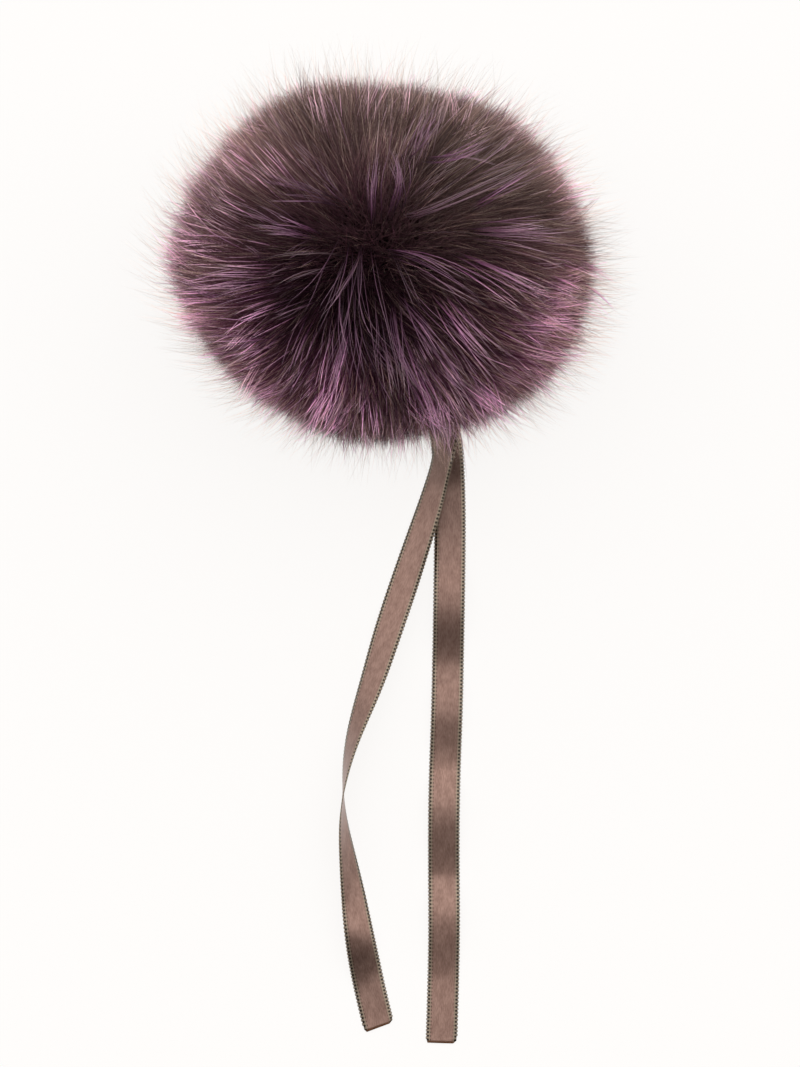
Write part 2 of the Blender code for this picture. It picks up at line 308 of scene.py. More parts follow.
LEVEL_OVER_RIBBONS = 6.5 * MM
ROOT_LEVEL = 0.2 * MM                           # over the surface, where hair grows under the ball
SETTLING = 1.6 * MM
SETTLED_BY = 0.25
NECK_PLACE = np.array((13.0, -20.5, 6.2)) * MM
NECK_AZIMUTH = -76.0                            # degrees: the way the ribbons leave the neck
NECK_CLIMB = 20.0                               # degrees: how steeply they rise into it
RIBBON_WIDTH = 10 * MM
RIBBONS_STRAIGHT_X = 20.8 * MM
RIBBONS_MARGIN = 1.5 * MM                       # hair this close beside the ribbons lies on them
RIBBONS_SHOULDER = 4 * MM                       # and from there it comes down in this width
RIBBONS_BEHIND = 6.5 * MM                       # hair starts to rise this far behind the neck
RIBBONS_RISE = 10 * MM                          # and is on the ribbons after this distance
SWEEP_LEAN = 0.35                               # share of its turn that hair has made halfway
TINTS = 6                                       # from plum to brown, across the hair's map
SHADES = 16                                     # from dark to light, within each tint
BANDS = TINTS * SHADES
DARKEST = 0.22                                  # of a hair's own colour, in the first shade
LIGHTEST = 2.6                                  # of it, in the last shade
USUAL_SHADE = 0.65                              # share of the way from dark to light
USUAL_TINT = 0.35                               # and from plum to brown
# The next table makes sides of the ball lighter or darker. Its first two rows are painted shade,
# in the parting below the whorl and in the hollow on its left.
LIGHTER = np.array((
    # azimuth, elevation, width in degrees, change in shade
    (-90, 60, 30, -0.35),                       # the dark parting below the whorl
    (-155, 60, 25, -0.30),                      # the dark hollow on its left
    (85, 40, 20, -0.15),                        # the quiet dark hair at the top
    (30, 45, 25, -0.10),                        # and at the upper right
    (95, 65, 15, 0.15),                         # bright strokes just above the whorl
    (-145, 25, 20, 0.20),                       # bright locks at the lower left
    (-100, 30, 15, 0.15),                       # at the bottom
    (-35, 25, 25, 0.20),                        # and at the lower right
    (0, 10, 25, 0.10),                          # pale hair at the right rim
))
BROWNER = np.array((
    # azimuth, elevation, width in degrees, change in tint
    (40, 40, 35, 0.45),                         # grey-brown hair at the upper right
    (100, 15, 40, 0.30),                        # brown along the top rim
    (-145, 30, 30, -0.35),                      # plum at the lower left
    (-95, 45, 30, -0.35),                       # at the bottom
    (-35, 25, 30, -0.30),                       # at the lower right
    (95, 65, 15, -0.25),                        # and in the strokes above the whorl
))
# Paler hair at the rim is painted rim light; browner hair there is the hair's own colour.
RIM_PAINTED_LIGHT = 0.08                                 # added shade of hair that stands out level
RIM_BROWN = 0.14                                # and its added tint
RIM_NARROWNESS = 4                              # the power that keeps both to the rim
PATCH_COUNT = 300
PATCH_STRENGTH = 0.12
chance = np.random.default_rng(71)
PATCHES = np.stack((
    # azimuth, elevation, width in degrees, change in shade: lighter tufts, and painted shade in the gaps
    # beside them
    chance.uniform(-180, 180, PATCH_COUNT),
    np.degrees(np.arcsin(chance.uniform(-0.3, 0.97, PATCH_COUNT))),
    chance.uniform(3.5, 6.5, PATCH_COUNT),
    chance.normal(0, PATCH_STRENGTH, PATCH_COUNT),
), -1)
HAIR_CAP = 0.012                                # share of that map along a hair for its root
LOWEST_HAIR = -0.9                              # share of the way from the middle to the pole
UNDERFUR_COUNT = 40000                          # in each of its three pieces
UNDERFUR_WIDTH = 0.37 * MM
UNDERFUR_REACH = (0.44, 0.66)
UNDERFUR_FALL = 7.0                             # degrees
UNDERFUR_STRAY = 0.07
WHORL_FUZZ = np.array((
    # azimuth, elevation, width in degrees, added stray where the hair parts
    (104, 80, 26, 0.26),
))


def smooth_step(value):
    """0 below 0, 1 above 1, and level at both ends between them."""
    value = np.clip(value, 0, 1)
    return value * value * (3 - 2 * value)


def resting_level(place):
    """Height that hair lies down on: just above the surface, and higher over the ribbons."""
    slanted = NECK_PLACE[0] + (place[..., 1] - NECK_PLACE[1]) / math.tan(math.radians(NECK_AZIMUTH))
    middle = np.minimum(slanted, RIBBONS_STRAIGHT_X)
    beside = np.abs(place[..., 0] - middle) - (RIBBON_WIDTH / 2 + RIBBONS_MARGIN)
    in_front = NECK_PLACE[1] + RIBBONS_BEHIND - place[..., 1]
    on_ribbons = (1 - smooth_step(beside / RIBBONS_SHOULDER)) * smooth_step(in_front / RIBBONS_RISE)
    return LEVEL_OVER_SURFACE + (LEVEL_OVER_RIBBONS - LEVEL_OVER_SURFACE) * on_ribbons


def settle(place, share):
    """Bend hair smoothly to lie on what is under it: the height above the resting level
    becomes the mean of itself and the root of its square plus the settling's square."""
    settled = np.minimum(1, share / SETTLED_BY)
    level = ROOT_LEVEL + (resting_level(place) - ROOT_LEVEL) * settled
    above = place[..., 2] - level
    place[..., 2] = level + 0.5 * (above + np.sqrt(above ** 2 + (SETTLING * settled) ** 2))
    return place


def spiral(count, chance, stray):
    """Directions all round the ball: a spiral with the golden angle between neighbours and
    even steps in height, each one astray by a share of the spacing."""
    index = np.arange(count)
    height = 1 - (2 * index + 1) / count
    turn = index * math.pi * (3 - math.sqrt(5))
    ring = np.sqrt(1 - height ** 2)
    facing = np.stack((ring * np.cos(turn), ring * np.sin(turn), height), -1)
    return unit(facing + chance.normal(0, stray * math.sqrt(4 * math.pi / count), (count, 3)))


def combed(facing, fall):
    """Directions turned away from the whorl, and then round it by the swirls. The first
    turn is fall times the sine of pi times (polar angle over UPRIGHT_POLAR) to the power
    0.6, so that hair below the polar angle named there turns back towards the whorl."""
    along = facing @ WHORL
    polar = np.degrees(np.arccos(np.clip(along, -1, 1)))
    turn = np.radians(fall * np.sin(np.pi * (polar / UPRIGHT_POLAR) ** 0.6))[..., None]
    away = facing * along[..., None] - WHORL
    away /= np.maximum(np.linalg.norm(away, axis=-1, keepdims=True), 1e-6)
    out = np.cos(turn) * facing + np.sin(turn) * away
    turn = np.radians(bumps(out, SWIRLS))
    axial = (out @ WHORL)[..., None] * WHORL
    return axial + (out - axial) * np.cos(turn) + np.cross(WHORL, out) * np.sin(turn)


def hair_paths(root, tip, reach, rings):
    """Points along hairs, from rows of root and tip directions: a quadratic curve from the
    ball by way of the sweep's shell to the tips' shell, followed as far as its reach."""
    share = (reach[:, None] * rings[None, :])[..., None]
    start = shell(BALL_CENTRE, BALL_HALF, root)[:, None]
    halfway = unit(root * (1 - SWEEP_LEAN) + tip * SWEEP_LEAN)
    middle = shell(SWEEP_CENTRE, SWEEP_HALF, halfway)[:, None]
    end = shell(TIP_CENTRE, TIP_HALF, tip)[:, None]
    rest = 1 - share
    return start * rest ** 2 + middle * (2 * rest * share) + end * share ** 2


def waved(paths, rings, height, cycles, chance):
    """Paths with a sideways wave that grows from the root: height * sine of (cycles turns
    along the hair, from a start by chance), in a direction square to the hair."""
    chord = unit(paths[:, -1] - paths[:, 0])
    aside = unit(np.cross(chord, chance.normal(size=chord.shape)))
    start = chance.uniform(0, 2 * np.pi, len(paths))[:, None]
    wave = np.sin(rings * cycles * 2 * np.pi + start) - np.sin(start)
    return paths + aside[:, None] * (height[:, None] * wave)[..., None]


def hair_piece(name, paths, width, taper, band, material, chance):
    """Three-sided tapered hairs in one mesh. Round each point of a path stand three corners
    a third of a turn apart, half of width * taper away. The root is closed by one face and
    the tip by a point. On the map, U is the share of the way to the tip and V the band."""
    count = len(paths)
    rings = paths.shape[1] - 1
    body = paths[:, :-1]
    tip = paths[:, -1]
    tangent = unit(np.gradient(paths, axis=1)[:, :-1])
    square = unit(np.cross(tip - body[:, 0], chance.normal(size=(count, 3))))
    side = unit(np.cross(tangent, square[:, None]))
    other = np.cross(tangent, side)
    radius = (width[:, None] / 2 * taper[None, :-1])[..., None, None]
    turn = 2 * np.pi / 3 * np.arange(3)[:, None]
    ring = np.cos(turn) * side[:, :, None] + np.sin(turn) * other[:, :, None]
    corners = (body[:, :, None] + radius * ring).reshape(count, -1, 3)
    corners = np.concatenate((corners, tip[:, None]), axis=1)

    first = (3 * np.arange(rings - 1)[:, None] + np.arange(3)).reshape(-1)
    second = (3 * np.arange(rings - 1)[:, None] + (np.arange(3) + 1) % 3).reshape(-1)
    walls = np.stack((first, second, second + 3, first + 3), -1)
    last = 3 * (rings - 1) + np.arange(3)
    points = np.stack((last, 3 * (rings - 1) + (np.arange(3) + 1) % 3, np.full(3, 3 * rings)), -1)
    base = (np.arange(count) * (3 * rings + 1))[:, None, None]
    caps = np.array([[0, 2, 1]])
    faces = [(rows[None] + base).reshape(-1, rows.shape[1]) for rows in (walls, points, caps)]

    along = HAIR_CAP + (1 - HAIR_CAP) * np.linspace(0, 1, rings + 1)
    near = np.repeat(along[:rings - 1], 3)
    far = np.repeat(along[1:rings], 3)
    wall_map = np.stack((near, near * 0, near, near * 0 + 1, far, far * 0 + 1, far, far * 0), -1)
    point_map = np.tile((along[rings - 1], 0, along[rings - 1], 1, 1, 0.5), (3, 1))
    cap_map = np.array([[0, 0, 0, 1, HAIR_CAP, 0.5]])
    map_places = []
    for rows in (wall_map, point_map, cap_map):
        places = np.tile(rows.reshape(1, len(rows), rows.shape[1] // 2, 2), (count, 1, 1, 1))
        places[..., 1] = (places[..., 1] * 0.9 + 0.05 + band[:, None, None]) / BANDS
        map_places.append(places)
    return lay_mesh(name, corners.reshape(-1, 3), faces, material, map_places)


def hair_finish(name, plum, brown, roughness, specular):
    """Hair coloured from its map: two ramps from root to tip, one for the first tint and one
    for the last, made darker or lighter by even ratios from shade to shade. The ramps are dark
    at the root, as the hair is, and darker there as painted shade deep in the fur."""
    material, tone, shader = new_finish(name, roughness, specular=specular)
    along, across = parts_of(tone, tone.add("ShaderNodeUVMap", {"uv_map": "OFBake"}))
    band = tone.math("FLOOR", across * BANDS)
    tint = tone.math("FLOOR", band / SHADES)
    shade = (band - tint * SHADES) / (SHADES - 1)
    colour = (tint / (TINTS - 1)).blend(along.ramp(*plum), along.ramp(*brown))
    strength = (LIGHTEST / DARKEST) ** shade * DARKEST
    colour_it(tone, shader, strength.lighten(colour))
    return material


def band_of(tip, each, scatter, chance):
    """Band on the hair's map by the side of the ball and the patch that the tip is on, and by
    chance. The sides' table paints shade into the parting and the hollow below the whorl, and
    the patches paint shade into the gaps between tufts. Towards the rim hair is browner, and
    paler as painted rim light, by a power of the square of the tip's distance from the upright
    axis. Each hair is off the tint and the shade of its side by half the scatter, and its whole
    lock, of the given number of hairs, by the scatter."""
    lock = np.repeat(chance.normal(0, scatter, (len(tip) // each, 2)), each, axis=0)
    off = lock + chance.normal(0, scatter / 2, lock.shape)
    level = (1 - tip[:, 2] ** 2) ** RIM_NARROWNESS
    tint = USUAL_TINT + bumps(tip, BROWNER)[:, 0] + off[:, 0] + RIM_BROWN * level
    shade = USUAL_SHADE + bumps(tip, LIGHTER)[:, 0] + bumps(tip, PATCHES)[:, 0] + off[:, 1]
    shade = shade + RIM_PAINTED_LIGHT * level
    tint = np.floor(np.clip(tint, 0, 0.999) * TINTS)
    return tint * SHADES + np.floor(np.clip(shade, 0, 0.999) * SHADES)


underfur_finish = hair_finish(
    "underfur",
    plum=(
        (0.0, (0.052, 0.015, 0.021, 1)), (0.5, (0.056, 0.015, 0.027, 1)),
        (0.85, (0.068, 0.020, 0.038, 1)), (1.0, (0.160, 0.066, 0.105, 1)),
    ),
    brown=(
        (0.0, (0.050, 0.024, 0.021, 1)), (0.5, (0.074, 0.044, 0.038, 1)),
        (0.85, (0.112, 0.074, 0.065, 1)), (1.0, (0.280, 0.210, 0.190, 1)),
    ),
    roughness=0.8,
    specular=0.06,
)
chance = np.random.default_rng(11)
rings = np.array((0, 1))
for letter in "abc":
    root = spiral(UNDERFUR_COUNT, chance, 0.6)
    root = root[root[:, 2] > LOWEST_HAIR]
    stray = UNDERFUR_STRAY + bumps(root, WHORL_FUZZ)
    tip = unit(combed(root, UNDERFUR_FALL) + chance.normal(0, 1, root.shape) * stray)
    reach = chance.uniform(*UNDERFUR_REACH, len(root))
    paths = settle(hair_paths(root, tip, reach, rings), reach[:, None] * rings)
    width = UNDERFUR_WIDTH * chance.uniform(0.6, 1.2, len(root))
    bands = band_of(tip, 1, 0.10, chance)
    piece = hair_piece("underfur_" + letter, paths, width, 1 - rings, bands, underfur_finish, chance)
    stand_for(piece, "fur_ball")


# ---------------------------------------------------------------------------------------
# The middle hair: longer and stiffer than the underfur, in small pointed wisps. Its tips
# make the soft brown and plum bloom over the dark, thicker towards the rim.
MIDDLE_WISPS = 2800
MIDDLE_HAIRS = 4                                # in a wisp
MIDDLE_WIDTH = 0.24 * MM
MIDDLE_REACH = (0.48, 0.77)
MIDDLE_HAIR_REACH = (0.85, 1.05)                # of a hair, as a share of its wisp's
MIDDLE_WAVE = 0.15 * MM
MIDDLE_FALL = 14.0
THICKNESS = np.array((
    # azimuth, elevation, width in degrees, change in the share of wisps that grow
    (60, 87, 20, -1.0),
    (165, 76, 12, -0.5),
    (18, 42, 22, -0.55),
    (66, 42, 20, -0.35),
    (144, 58, 16, -0.45),
    (208, 71, 9, -0.5),
    (299, 71, 9, -0.4),
    (142, 73, 10, -0.5),
    (11, 66, 10, -0.5),
    (-121, 54, 15, -0.4),
    (-41, 56, 12, -0.35),
    (100, 35, 25, -0.25),
    (180, 10, 30, 0.25),
    (270, 40, 35, 0.25),
    (335, 30, 25, 0.25),
))
USUAL_THICKNESS = 0.7
PATCH_THICK = 2.2                               # change in that share, of a patch's in shade


def wisps(count, each, fall, root_spread, kept, stray, tip_spread, chance):
    """Root and tip directions of hairs in wisps. A wisp's own root and tip are as the hair
    falls there, and astray. Its hairs' roots spread round its root, and their tips keep
    only a share of that spread, so that the wisp is pointed. Where the hair is thin, chance
    leaves wisps out."""
    wisp_root = spiral(count, chance, 0.5)
    wisp_tip = unit(combed(wisp_root, fall) + chance.normal(0, stray, wisp_root.shape))
    thick = USUAL_THICKNESS + bumps(wisp_root, THICKNESS) + PATCH_THICK * bumps(wisp_tip, PATCHES)
    grows = (chance.uniform(0, 1, count) < thick[:, 0]) & (wisp_root[:, 2] > LOWEST_HAIR)
    wisp_root = wisp_root[grows]
    wisp_tip = wisp_tip[grows]
    off = chance.normal(0, root_spread, (len(wisp_root), each, 3))
    root = unit(wisp_root[:, None] + off)
    tip = wisp_tip[:, None] + off * kept + chance.normal(0, tip_spread, off.shape)
    return root.reshape(-1, 3), unit(tip).reshape(-1, 3)


middle_finish = hair_finish(
    "middle_hair",
    plum=(
        (0.0, (0.040, 0.012, 0.016, 1)), (0.5, (0.085, 0.023, 0.053, 1)),
        (0.85, (0.168, 0.060, 0.114, 1)), (1.0, (0.410, 0.240, 0.265, 1)),
    ),
    brown=(
        (0.0, (0.040, 0.018, 0.017, 1)), (0.5, (0.085, 0.045, 0.043, 1)),
        (0.85, (0.240, 0.150, 0.134, 1)), (1.0, (0.500, 0.365, 0.305, 1)),
    ),
    roughness=0.6,
    specular=0.16,
)
chance = np.random.default_rng(23)
rings = np.array((0, 0.45, 0.8, 1))
root, tip = wisps(MIDDLE_WISPS, MIDDLE_HAIRS, MIDDLE_FALL, 0.05, 0.35, 0.09, 0.03, chance)
wisp_reach = chance.uniform(*MIDDLE_REACH, len(root) // MIDDLE_HAIRS)
reach = np.repeat(wisp_reach, MIDDLE_HAIRS) * chance.uniform(*MIDDLE_HAIR_REACH, len(root))
wave = np.full(len(root), MIDDLE_WAVE)
paths = waved(hair_paths(root, tip, reach, rings), rings, wave, 0.8, chance)
paths = settle(paths, reach[:, None] * rings)
width = MIDDLE_WIDTH * chance.uniform(0.7, 1.2, len(root))
bands = band_of(tip, MIDDLE_HAIRS, 0.10, chance)
taper = np.array((1, 0.9, 0.5, 0))
piece = hair_piece("middle_hair", paths, width, taper, bands, middle_finish, chance)
stand_for(piece, "fur_ball")


# ---------------------------------------------------------------------------------------
# The guard hair: long, glossy and stiff, dyed a deep purple, mauve at its tip and dark at
# its root, darker there still as painted shade deep in the fur. It stands in loose locks that
# fall away from the whorl and end in points.
GUARD_WIDTH = 0.27 * MM
GUARD_REACH = (0.60, 1.0)
GUARD_HAIR_REACH = (0.8, 1.05)                  # of a hair, as a share of its lock's
GUARD_FALL = 24.0
GUARD_WAVE = 0.22 * MM
RIM_TRIM = 0.10                                 # how much shorter it is where it stands out level

guard_finish = hair_finish(
    "guard_hair",
    plum=(
        (0.0, (0.040, 0.008, 0.023, 1)), (0.38, (0.195, 0.058, 0.145, 1)),
        (0.8, (0.715, 0.365, 0.580, 1)), (1.0, (0.900, 0.660, 0.760, 1)),
    ),
    brown=(
        (0.0, (0.040, 0.016, 0.020, 1)), (0.38, (0.195, 0.102, 0.120, 1)),
        (0.8, (0.660, 0.460, 0.490, 1)), (1.0, (0.880, 0.740, 0.730, 1)),
    ),
    roughness=0.42,
    specular=0.35,
)
rings = np.array((0, 0.25, 0.5, 0.72, 0.9, 1))
taper = np.array((0.8, 1, 0.95, 0.65, 0.3, 0))
for name, seed, locks, hairs, kept, astray, loose in (
    ("guard_locks", 37, 900, 10, 0.34, 0.17, 0.022),
    ("guard_hair", 38, 2800, 1, 1.0, 0.12, 0.0),
):
    chance = np.random.default_rng(seed)
    root, tip = wisps(locks, hairs, GUARD_FALL, 0.05, kept, astray, loose, chance)
    lock_reach = chance.uniform(*GUARD_REACH, len(root) // hairs)
    reach = np.repeat(lock_reach, hairs) * chance.uniform(*GUARD_HAIR_REACH, len(root))
    reach = reach * (1 - RIM_TRIM * (1 - tip[:, 2] ** 2) ** 3)
    wave = np.full(len(root), GUARD_WAVE)
    paths = waved(hair_paths(root, tip, reach, rings), rings, wave, 0.7, chance)
    paths = settle(paths, reach[:, None] * rings)
    width = GUARD_WIDTH * chance.uniform(0.6, 1.3, len(root))
    bands = band_of(tip, hairs, 0.22, chance)
    piece = hair_piece(name, paths, width, taper, bands, guard_finish, chance)
    stand_for(piece, "fur_ball")


# ---------------------------------------------------------------------------------------
# The locks that stand out: tufts of the same guard hair that lie over the rest, gathered at
# their roots by the pelt's folds. Each is placed by where it shows from straight above.
LOCKS_HALF = np.array((71, 62, 58)) * MM        # half sizes of the shell that they lie on
LOCK_LIFTS = (0.78, 0.89, 0.94, 0.97, 0.99, 1.01, 1.02)  # share of that shell, ring by ring
LOCK_WIDTH = 0.24 * MM
LOCK_WAVE = 0.32 * MM
LOCK_REACH = (0.75, 1.05)
LOCK_KEPT = 0.8                                 # share of a hair's stray that it keeps all along
LOCK_LOOSENED = (0.3, 0.6, 0.9)                 # and of another one, at root, bend and tip
LOCK_UNEVENNESS = 0.08                          # of tint and shade
LOCKS = np.array((
    # x, y of the root, of the bend and of the tip; spread of the roots and of the tips, all
    # in mm on the surface behind them as the camera sees it; hairs; tint; shade
    (-20.5, 12, -30, 14.5, -39.5, 15.5, 1, 2.2, 12, 0.1, 0.36),
    (-25.5, 13, -34.5, 18, -43.5, 22, 1.2, 2.5, 10, 0.2, 0.32),
    (-11.5, 6, -24, 7.5, -36.5, 5, 0.4, 0.5, 3, 0.8, 0.16),
    (-14.5, 2.5, -24.5, 1, -34.5, -4.5, 0.5, 0.4, 3, 0.6, 0.16),
    (-25.5, 4, -33.5, 1.5, -37.5, -1, 0.5, 0.6, 3, 0.5, 0.14),
    (-8.5, 8.5, -14.5, -3, -25.5, -14.5, 2.4, 2.6, 5, 0.2, 0.24),
    (-13, 4, -18, -7.5, -24.5, -21.5, 2.2, 2.5, 4, 0.3, 0.2),
    (-7.5, 9, -8.5, -4.5, -10.5, -18.5, 2.6, 3.4, 4, 0.1, 0.24),
    (-6, 8.5, -6, -12.5, 5, -26.5, 1.2, 1.2, 3, 0.3, 0.3),
    (-4.5, 8, -0.5, -14, 4.5, -34.5, 1.2, 1.5, 3, 0.4, 0.3),
    (-10, -3, -9.5, -20, -5.5, -34, 2.5, 3, 10, 0.1, 0.32),
    (-9.5, -15.5, -12, -26.5, -14.5, -36.5, 1.5, 2.5, 12, 0.1, 0.36),
    (-13.5, -11, -15.5, -20, -16.5, -27, 1.9, 1.5, 5, 0.3, 0.25),
    (1, -7.5, 3, -20, 2, -34, 2.5, 3, 5, 0.2, 0.26),
    (4, -9, 7, -23, 13.5, -37.5, 2.5, 3, 10, 0.1, 0.38),
    (7, -9, 15, -18.5, 25, -31, 2.5, 3, 12, 0.1, 0.42),
    (18, -7.5, 26, -18.5, 37, -30, 2.5, 3, 16, 0.2, 0.66),
    (2, 8, 18, 4, 37, -7.5, 0.8, 3, 9, 0.1, 0.42),
    (22.5, 5.5, 37, -2, 51, -11, 1.9, 3, 10, 0.2, 0.62),
    (10.5, 2.5, 22.5, -4.5, 37, -11.5, 0.5, 0.6, 3, 0.8, 0.44),
    (30, 4, 41.5, -0.5, 53, -6.5, 1, 1.5, 5, 0.6, 0.56),
    (27.5, 15, 43, 16, 56, 17.5, 2, 2.6, 9, 0.3, 0.56),
    (30, 13.5, 44.5, 12.5, 60, 13, 2.4, 3.2, 9, 0.4, 0.52),
    (30, 11.5, 46, 9.5, 59, 5.5, 2, 2.8, 8, 0.5, 0.5),
    (8, 19, 18, 22, 55.5, 39, 0.75, 1.6, 5, 0.6, 0.4),
    (27.5, 20.5, 38.5, 27, 53, 35, 0.5, 1.2, 6, 0.15, 0.5),
    (13.5, 35.5, 24.5, 36.5, 39, 43.5, 0.75, 2.5, 9, 0.1, 0.42),
    (15, 36, 27.5, 36.5, 38.5, 33, 0.4, 0.4, 3, 0.6, 0.36),
    (19, 27, 33.5, 37.5, 40.5, 46, 0.62, 1.5, 4, 0.6, 0.36),
    (-2, 17.5, -2, 28, -0.5, 39.5, 1.5, 2, 12, 0.05, 0.28),
    (2, 18, 5.5, 29.5, 3, 39.5, 1.2, 1.2, 10, 0.05, 0.3),
    (6, 21, 5, 29.5, 2, 37.5, 0.75, 1.5, 7, 0.2, 0.32),
    (-11.5, 22, -19.5, 28, -25.5, 34.5, 1.2, 3, 8, 0.4, 0.2),
    (-14.5, 23.5, -25.5, 26.5, -37.5, 29.5, 1.2, 3, 10, 0.1, 0.22),
    (7, 36, 12, 43.5, 17.5, 53, 1.2, 2, 8, 0.1, 0.34),
    (7, -26.5, 15, -40.5, 18, -54.5, 2.5, 2, 13, 0.1, 0.62),
    (15, -35.5, 20.5, -48, 22, -62, 2.5, 3, 5, 0.6, 0.54),
    (18, -37.5, 22.5, -45, 24, -55, 1.9, 2, 6, 0.2, 0.5),
    (4, 6.5, 8.5, -3, 12, -11.5, 0.5, 1, 3, 0.5, 0.1),
    (-36.5, 5.5, -41, 8.5, -45, 11, 0.5, 1, 4, 0.4, 0.3),
    (-33.5, -2.5, -44, -4.5, -55, -7, 1.9, 2.5, 8, 0.3, 0.5),
    (-37.5, -18.5, -47.5, -19, -56, -19.5, 1.9, 2.5, 8, 0.1, 0.56),
    (-19.5, -7.5, -28.5, -11.5, -33.5, -14, 1.2, 1.5, 5, 0.3, 0.28),
))


def over_fur(seen, lift):
    """Points on a share of the locks' shell that the camera sees at places on the surface:
    the near solution of the line from the camera through the place with the ellipsoid, or
    the line's nearest point to it where they don't meet."""
    camera_place = np.array(CAMERA_PLACE)
    half = LOCKS_HALF * lift[:, None]
    line = (np.concatenate((seen, np.zeros_like(seen[..., :1])), axis=-1) - camera_place) / half
    start = (camera_place - TIP_CENTRE) / half
    across = (line * line).sum(-1)
    along = (line * start).sum(-1)
    inside = along ** 2 - across * ((start * start).sum(-1) - 1)
    share = (-along - np.sqrt(np.maximum(inside, 0))) / across
    return camera_place + share[..., None] * line * half


chance = np.random.default_rng(53)
hairs = LOCKS[:, 8].astype(int)
rows = np.repeat(LOCKS, hairs, axis=0)
seen = rows[:, :6].reshape(-1, 3, 2) * MM
off = chance.normal(0, 1, (len(rows), 1, 2)) * MM
other_off = chance.normal(0, 1, (len(rows), 1, 2)) * MM
spread = np.stack((rows[:, 6], rows[:, 6:8].mean(1), rows[:, 7]), -1)[..., None]
seen = seen + spread * (off * LOCK_KEPT + other_off * np.array(LOCK_LOOSENED)[:, None])
rings = np.linspace(0, 1, len(LOCK_LIFTS))
share = (rings * chance.uniform(*LOCK_REACH, (len(rows), 1)))[..., None]
shown = seen[:, :1] * (1 - share) * (1 - 2 * share)
shown = shown + seen[:, 1:2] * 4 * share * (1 - share) + seen[:, 2:] * share * (2 * share - 1)
paths = over_fur(shown, np.array(LOCK_LIFTS))
paths = waved(paths, rings, np.full(len(rows), LOCK_WAVE), 1.1, chance)
paths = settle(paths, share[..., 0])
width = LOCK_WIDTH * chance.uniform(0.6, 1.2, len(rows))
tint = np.clip(rows[:, 9] + chance.normal(0, LOCK_UNEVENNESS, len(rows)), 0, 0.999)
shade = np.clip(rows[:, 10] + chance.normal(0, LOCK_UNEVENNESS, len(rows)), 0, 0.999)
bands = np.floor(tint * TINTS) * SHADES + np.floor(shade * SHADES)
taper = np.array((0.7, 0.9, 1, 0.9, 0.7, 0.4, 0))
piece = hair_piece("marked_locks", paths, width, taper, bands, guard_finish, chance)
stand_for(piece, "fur_ball")


# ---------------------------------------------------------------------------------------
# The fringe: single long guard hairs that stand out past the round, so thin that they are
# pale pinkish lines against the surface.
FRINGE_COUNT = 11500
FRINGE_WIDTH = 0.072 * MM
FRINGE_REACH = (0.70, 1.32)
FRINGE_FALL = 12.0
FRINGE_WAVE = 0.3 * MM
FRINGE_LONGER = np.array((
    # azimuth, elevation, width in degrees, how much less rare long hair is there
    (-20, 8, 40, 1.6),
    (150, 8, 40, 0.6),
    (225, 8, 35, 0.7),
))

fringe_finish = hair_finish(
    "fringe_hair",
    plum=(
        (0.0, (0.040, 0.014, 0.028, 1)), (0.5, (0.305, 0.160, 0.148, 1)),
        (1.0, (0.690, 0.510, 0.430, 1)),
    ),
    brown=(
        (0.0, (0.040, 0.020, 0.020, 1)), (0.5, (0.325, 0.208, 0.160, 1)),
        (1.0, (0.710, 0.560, 0.450, 1)),
    ),
    roughness=0.45,
    specular=0.4,
)
chance = np.random.default_rng(41)
root = spiral(FRINGE_COUNT, chance, 0.8)
tip = unit(combed(root, FRINGE_FALL) + chance.normal(0, 0.06, root.shape))
rarity = chance.uniform(0, 1, len(root)) ** (2 - bumps(root, FRINGE_LONGER)[:, 0])
reach = FRINGE_REACH[0] + (FRINGE_REACH[1] - FRINGE_REACH[0]) * rarity
rings = np.array((0, 0.6, 1))
wave = np.full(len(root), FRINGE_WAVE)
paths = waved(hair_paths(root, tip, reach, rings), rings, wave, 0.6, chance)
paths = settle(paths, reach[:, None] * rings)
width = FRINGE_WIDTH * chance.uniform(0.6, 1.2, len(root))
bands = band_of(tip, 1, 0.15, chance)
taper = np.array((1, 0.8, 0))
piece = hair_piece("fringe_hair", paths, width, taper, bands, fringe_finish, chance)
stand_for(piece, "fur_ball")


# ---------------------------------------------------------------------------------------
# The right tail: double-faced satin ribbon, 10 mm wide, woven with selvedges. One end is
# caught in the ball's neck, the other is cut and heat-sealed. It lies in soft ripples.
RIBBON_THICKNESS = 0.38 * MM
WOVEN_WIDTH = 9.3 * MM                          # of the ribbon without its edges' loops
RIBBON_LAYER_GAP = 0.3 * MM
SOLID_THICKNESS = 1 * MM                        # of the ribbon's solid, which sets the layers
NECK_DEPTH = 7.7 * MM
NECK_RUN = 5 * MM
STATION = 0.9 * MM
SHEET_COLUMNS = 11
CUPPING = 0.12 * MM                             # how far the middle stands over the edges
FLOAT_WIDTH = 0.28 * MM                         # of the lengthwise threads that make the satin
LOOP_PITCH = 1.15 * MM                          # of the loops along each edge, and of the dots
END_LEAN = 4 * MM                               # in which the ribbon leans to its cut's slant
MAP_MARGIN = 0.01                               # of the ribbon's map, all round
MAP_SPAN = 0.98
RIGHT_ROUTE = (
    # x mm, y mm, height mm, roll
    (16.4, -35.0, 0.0, 0),
    (19.7, -50.0, 0.0, 0),
    (20.8, -62.0, 0.0, 0),
    (20.9, -98.0, 0.0, 0),
    (20.2, -135.0, 0.0, 0),
    (19.3, -165.0, 0.0, 0),
    (19.3, -205.0, 0.0, 0),
    (18.5, -239.1, 0.0, 0),
)
RIGHT_RIPPLES = (
    # y mm of the crest, height mm, length mm of its rise from the ball and of its fall
    (-50.0, 2.3, 10, 19),
    (-101.0, 2.7, 22, 23),
    (-135.5, 1.3, 16, 18),
    (-166.0, 2.2, 13, 25),
    (-199.0, 1.9, 13, 22),
)
